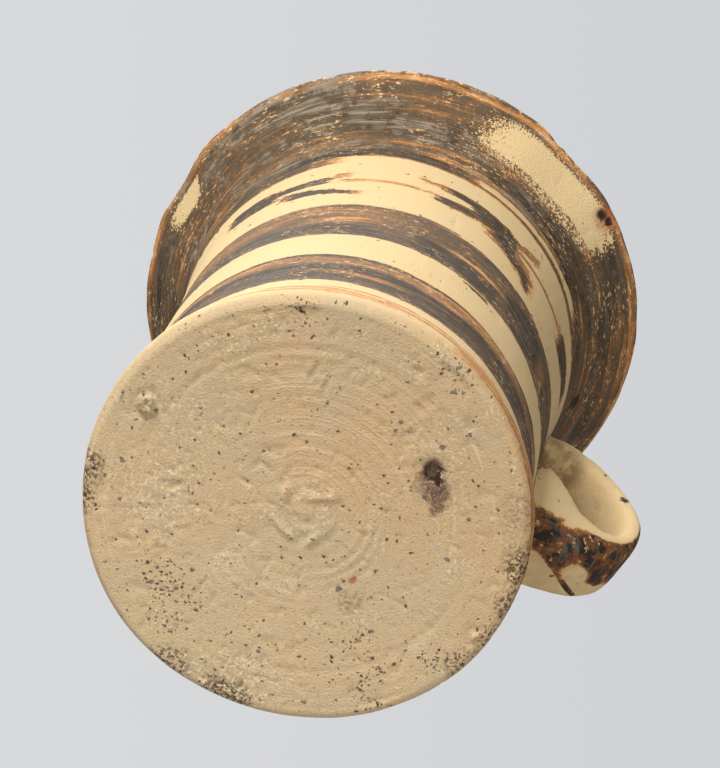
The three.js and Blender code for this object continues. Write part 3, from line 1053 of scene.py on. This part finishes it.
# The handle's paint. The disc is the round place left bare under the lower arm, with a darker edge
HANDLE_GAP = (41.0, 0.0, 51.0)
DISC = (45.2, 1.4, 0)
DISC_RADIUS = 3.0
DARK_EDGE_RADIUS = 5.0
# Where the lower arm passes into the upper one, by height
BELOW = (46, 38)
# The line beside the disc: how y follows x, and where it starts and stops in x
LINE_SLOPE = 0.78
LINE_OFFSET = -31.2
LINE_FROM = (38, 39.5)
LINE_TO = (47.5, 46.2)


def handle_load(sheet, at):
    """Slip on the outer face of the strap: a broad dark wash with one round place left bare."""
    x, y, z = sheet.node("SeparateXYZ", {0: at.place}).outputs
    out = sheet.stretch(sheet.vector("SUBTRACT", at.place, HANDLE_GAP), (1, 0, 1))
    out = sheet.node("VectorMath", {0: out}, operation="NORMALIZE").outputs["Vector"]
    facing = sheet.dot(at.normal, out)
    outer = sheet.ease(sheet.add(facing, sheet.times(at.ragged, 0.25)), 0.35, 0.7)
    wavy = sheet.add(y, sheet.times(at.ragged, 1.6))
    low_side = sheet.ease(wavy, -7.4, -5.6)
    inputs = {"Value": x, "From Min": 37.0, "From Max": 43.0, "To Min": -1.2, "To Max": 1.6}
    high_edge = sheet.node("MapRange", inputs).outputs["Result"]
    high_edge = sheet.most(high_edge, sheet.ease(x, 46, 52.5, -1.4, 2.6))
    below = sheet.ease(z, *BELOW)
    reach = sheet.add(sheet.times(high_edge, below), sheet.times(sheet.less(below), 4.2))
    high_side = sheet.ease(sheet.minus(wavy, reach), 0.0, 1.2, 1.0, 0.0)
    wash = sheet.times(low_side, high_side)
    flat = sheet.stretch(at.place, (1, 1, 0))
    bare = sheet.times(spot_at(sheet, flat, DISC, DISC_RADIUS, 1), below)
    bent = sheet.minus(y, sheet.calc("MULTIPLY_ADD", x, LINE_SLOPE, LINE_OFFSET))
    line = sheet.ease(sheet.calc("ABSOLUTE", bent), 0.35, 0.8, 1.0, 0.0)
    line = sheet.times(line, sheet.ease(x, *LINE_FROM), sheet.ease(x, *LINE_TO), below)
    dark_edge = spot_at(sheet, flat, DISC, DARK_EDGE_RADIUS, 1)
    dark_edge = sheet.calc("MULTIPLY_ADD", dark_edge, 0.7, 1.0)
    wash = sheet.times(wash, sheet.less(bare), dark_edge)
    wash = sheet.times(sheet.times(sheet.most(wash, line), outer), at.on_handle)
    return sheet.times(wash, sheet.calc("MULTIPLY_ADD", sheet.minus(at.mottle, 0.5), 3.8, 0.78))


def worn_off(sheet, at):
    """How much of the slip has come off: in flecks, along the lip and grain by grain."""
    flecks = sheet.noise(at.place, (0.8, 0.8, 3.0), 3.0, 0.7)
    flecks = sheet.times(sheet.ease(flecks, 0.56, 0.64), sheet.ease(at.blotch, 0.36, 0.58), 0.9)
    lip = sheet.ease(sheet.add(at.mottle, sheet.times(at.ragged, 0.5)), 0.5, 0.56)
    lip = sheet.times(sheet.ease(at.height, *ON_LIP), lip, 0.92)
    return sheet.most(flecks, lip, sheet.times(sheet.ease(at.grain, 0.6, 0.7), 0.6))


def scuff_and_sheen_of(sheet, at, cover):
    """Pale grey over the flare's slip on the side away from the handle, toward the key lamp: scuffing, and
    painted sheen where the lamp falls.
    """
    side = sheet.times(sheet.ease(at.azimuth, -45, -80), sheet.ease(at.azimuth, -204, -184))
    scuff_and_sheen = sheet.times(at.on_flare, cover, side, sheet.ease(at.streak, 0.4, 0.64))
    return sheet.times(scuff_and_sheen, sheet.ease(sheet.add(at.broad, at.mottle), 0.94, 1.14))


def flaked(sheet, at, rough_place):
    """Where the clay of the underside has crumbled into pale flakes."""
    crumbled = spots_of(sheet, CRUMBLED, rough_place)
    crumbled = sheet.most(crumbled, sheet.ease(at.blotch, 0.54, 0.62, 0.0, 0.7))
    return sheet.times(sheet.ease(at.flakes, 0.52, 0.57), crumbled, at.under)


def turned_lines(sheet, at):
    """Fine rings that turning left under the foot."""
    ring = sheet.node("CombineXYZ", {0: at.radius, 1: at.x, 2: at.y}).outputs[0]
    rings = sheet.noise(ring, (1.5, 0.03, 0.03), 3.0, 0.6)
    return sheet.times(rings, at.under, sheet.ease(at.long_streak, 0.42, 0.58))


def marked(sheet, at, colour, rough_place):
    """The colour with the stained, whitish, brown and red places of the underside."""
    pores = sheet.times(sheet.ease(at.flakes, 0.4, 0.33), at.under)
    colour = sheet.coat(colour, pores, 0.5, DIRT_AND_SHADE_BROWN)
    marks = [
        (WHITISH, sheet.ease(at.flakes, 0.46, 0.6), 0.6, SCUFF),
        (BROWNISH, sheet.ease(at.flakes, 0.6, 0.44), 0.6, DIRT_AND_SHADE_BROWN),
        (RED_MARKS, 1.0, 0.8, RED_CLAY),
        (STAIN, sheet.ease(at.grain, 0.7, 0.5), 0.92, STAIN_PURPLE),
        (STAIN_PIT, 1.0, 0.92, PIT_BLACK),
    ]
    for spots, broken, amount, above in marks:
        mask = sheet.times(spots_of(sheet, spots, rough_place), at.under, broken)
        colour = sheet.coat(colour, mask, amount, above)
    return colour


def soiled(sheet, at, colour, crumbs):
    """The colour with grime along the foot's edge, smudges and painted shade about the handle, and black
    chips, one of them edged in red.
    """
    dirty = sheet.times(spots_of(sheet, DIRTY, crumbs), sheet.ease(at.flakes, 0.53, 0.45))
    colour = sheet.coat(colour, dirty, 0.85, GRIME)
    # Smudges, and painted shade on the handle
    smudge_and_shade = sheet.times(spots_of(sheet, SMUDGED_AND_SHADED, crumbs), sheet.ease(at.mottle, 0.64, 0.4))
    colour = sheet.coat(colour, smudge_and_shade, 0.7, DIRT_AND_SHADE_BROWN)
    colour = sheet.mix(spots_of(sheet, RED_EDGE, crumbs), colour, RED_CLAY)
    return sheet.coat(colour, spots_of(sheet, BLACK_CHIPS, crumbs), 0.95, CHIP_BLACK)


def specked(sheet, at, colour, crumbs, rough_place):
    """The colour with dark grains: many where the underside is speckled, few elsewhere."""
    speckled = sheet.times(spots_of(sheet, SPECKLED, rough_place), at.under)
    amount = sheet.times(at.under, sheet.calc("MULTIPLY_ADD", speckled, 0.8, 0.05))
    few = sheet.times(amount, 0.4)
    fine = sheet.use(FLAT_SPECKS, {"Place": crumbs, "Size": FINE_GRAINS, "Amount": amount})["Mask"]
    coarse = sheet.use(FLAT_SPECKS, {"Place": crumbs, "Size": COARSE_GRAINS, "Amount": few})["Mask"]
    scattered = sheet.use(DARK_SPECKS, {"Place": crumbs, "Size": SCATTERED_GRAINS, "Amount": 0.06})["Mask"]
    colour = sheet.coat(colour, coarse, 0.8, SPECK_GREY)
    return sheet.coat(colour, sheet.most(fine, scattered), 0.88, SPECK_BROWN)


def painted_clay():
    """The cup's one material, from the bare clay up: slip, wear, painted sheen, painted light and shade,
    marks, grime and grains.
    """
    material = bpy.data.materials.new("painted clay")
    material.use_nodes = True
    sheet = Sheet(material.node_tree)
    at = survey(sheet)
    clay = bare_clay(sheet, at)
    strap = handle_load(sheet, at)
    load = sheet.most(cup_load(sheet, at), strap)
    load = sheet.times(load, sheet.less(worn_off(sheet, at)))
    slip = sheet.use(SLIP_COLOUR, {"Load": load, "Streak": at.streak, "Clay": clay})
    colour, cover = slip["Color"], slip["Cover"]
    reddish = sheet.times(strap, sheet.ease(at.mottle, 0.56, 0.48))
    colour = sheet.coat(colour, reddish, 0.6, REDDISH_WASH)
    # Scuffing, and painted sheen on the flare's side toward the key lamp
    colour = sheet.coat(colour, scuff_and_sheen_of(sheet, at, cover), 0.9, PALE_SCUFF_AND_SHEEN)

    crumbs = sheet.warp(at.place, 1.3, 1.3)
    rough_place = sheet.stretch(sheet.warp(crumbs, 0.3, 4.0), (1, 1, 0))
    flaky = flaked(sheet, at, rough_place)
    turned = turned_lines(sheet, at)
    colour = sheet.coat(colour, flaky, 0.8, SCUFF)
    colour = sheet.coat(colour, sheet.ease(turned, 0.54, 0.64), 0.5, PALE_BUFF)
    colour = marked(sheet, at, colour, rough_place)
    colour = soiled(sheet, at, colour, crumbs)
    colour = specked(sheet, at, colour, crumbs, rough_place)

    relief = sheet.add(sheet.times(at.grain, 0.6), sheet.times(at.streak, 0.35), sheet.times(flaky, 0.55))
    relief = sheet.add(relief, sheet.times(turned, 0.65), sheet.times(at.grain, at.under, 0.2))
    bump = sheet.node("Bump", {"Height": relief, "Strength": 0.7, "Distance": 0.5 * MM})
    gloss = sheet.calc("MULTIPLY_ADD", cover, -0.14, 0.86)
    gloss = sheet.add(gloss, sheet.times(sheet.minus(at.grain, 0.5), 0.25))
    shader = material.node_tree.nodes["Principled BSDF"].inputs
    sheet.feed(shader["Base Color"], colour)
    sheet.feed(shader["Roughness"], gloss)
    sheet.feed(shader["Normal"], bump.outputs["Normal"])
    sheet.feed(shader["Specular IOR Level"], 0.15)
    return material


cup.data.materials.append(painted_clay())
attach(cup, "root")
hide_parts("kyathos")


# Camera: it looks up at the underside, as the cup is tipped back in the photograph. Place in millimetres

CAMERA_PLACE = (-21.68, -249.13, -577.49)
CAMERA_RIGHT = Vector((0.88723, -0.43917, 0.14122))
CAMERA_UP = Vector((-0.46022, -0.82151, 0.33661))
CAMERA_BACK = Vector((-0.03182, -0.36365, -0.93099))
FOCAL_LENGTH = 187.5
SENSOR = 36.0


def add_camera():
    lens = bpy.data.cameras.new("camera")
    lens.lens = FOCAL_LENGTH
    lens.sensor_width = SENSOR
    lens.clip_start = 0.05
    lens.clip_end = 20
    camera = bpy.data.objects.new("camera", lens)
    turn = Matrix((CAMERA_RIGHT, CAMERA_UP, CAMERA_BACK)).transposed().to_4x4()
    camera.matrix_world = Matrix.Translation(Vector(CAMERA_PLACE) * MM) @ turn
    bpy.context.scene.collection.objects.link(camera)
    bpy.context.scene.camera = camera


# Stage: a pale floor seen from above only, a pale room and soft lamps

CUP_MIDDLE = Vector((0, 0, 45))
# Name, direction, distance and size in millimetres, and power in watts
LAMPS = [
    ("key", CAMERA_UP * 0.76 + CAMERA_BACK * 0.58 - CAMERA_RIGHT * 0.3, 900, 380, 9.4),
    ("fill", CAMERA_BACK * 0.85 - CAMERA_UP * 0.45 + CAMERA_RIGHT * 0.2, 700, 400, 1.35),
    ("top", Vector((-0.3, -0.25, 1)), 900, 600, 9.0),
]
FLOOR_SIZE = 6000
FLOOR_DROP = 1.2
FLOOR_PAPER = (0.72, 0.72, 0.73, 1)
ROOM_LIGHT = (1.0, 0.99, 0.97, 1)
ROOM_STRENGTH = 0.36
BACKDROP_LEFT = tint(216, 217, 219)
BACKDROP_RIGHT = tint(209, 210, 213)


def add_lamp(name, direction, distance, size, power):
    """A square soft lamp that faces the cup."""
    data = bpy.data.lights.new(name, "AREA")
    data.size = size * MM
    data.energy = power
    lamp = bpy.data.objects.new(name, data)
    direction = direction.normalized()
    lamp.location = (CUP_MIDDLE + direction * distance) * MM
    lamp.rotation_mode = "QUATERNION"
    lamp.rotation_quaternion = direction.to_track_quat("Z", "Y")
    bpy.context.scene.collection.objects.link(lamp)


def add_floor():
    """A plain floor that shows from above. From below it lets the view and all light through."""
    bpy.ops.mesh.primitive_plane_add(size=FLOOR_SIZE * MM, location=(0, 0, -FLOOR_DROP * MM))
    floor = bpy.context.object
    floor.name = "floor"
    material = bpy.data.materials.new("floor paper")
    material.use_nodes = True
    sheet = Sheet(material.node_tree)
    output = material.node_tree.nodes["Material Output"]
    material.node_tree.nodes.remove(material.node_tree.nodes["Principled BSDF"])
    front = sheet.less(sheet.node("NewGeometry").outputs["Backfacing"])
    seen = sheet.times(sheet.node("LightPath").outputs["Is Camera Ray"], front)
    paper = sheet.node("BsdfDiffuse", {"Color": FLOOR_PAPER})
    clear = sheet.node("BsdfTransparent")
    mixed = sheet.node("MixShader", {0: seen, 1: clear.outputs[0], 2: paper.outputs[0]})
    material.node_tree.links.new(mixed.outputs[0], output.inputs["Surface"])
    floor.data.materials.append(material)


def add_room():
    """Even pale light from all round. The backdrop itself is a little paler than the light it gives."""
    world = bpy.data.worlds.new("studio")
    world.use_nodes = True
    sheet = Sheet(world.node_tree)
    nodes = world.node_tree.nodes
    glow = nodes["Background"]
    glow.inputs["Color"].default_value = ROOM_LIGHT
    glow.inputs["Strength"].default_value = ROOM_STRENGTH
    direction = sheet.node("TexCoord").outputs["Generated"]
    across = sheet.dot(direction, tuple(CAMERA_RIGHT))
    backdrop_colour = sheet.mix(sheet.ease(across, -0.1, 0.1), BACKDROP_LEFT, BACKDROP_RIGHT)
    backdrop = sheet.node("Background", {"Color": backdrop_colour, "Strength": 1.0})
    seen = sheet.node("LightPath").outputs["Is Camera Ray"]
    mixed = sheet.node("MixShader", {0: seen, 1: glow.outputs[0], 2: backdrop.outputs[0]})
    world.node_tree.links.new(mixed.outputs[0], nodes["World Output"].inputs["Surface"])
    bpy.context.scene.world = world


add_camera()
add_floor()
add_room()
for lamp in LAMPS:
    add_lamp(*lamp)
bpy.context.scene.view_settings.view_transform = "Standard"
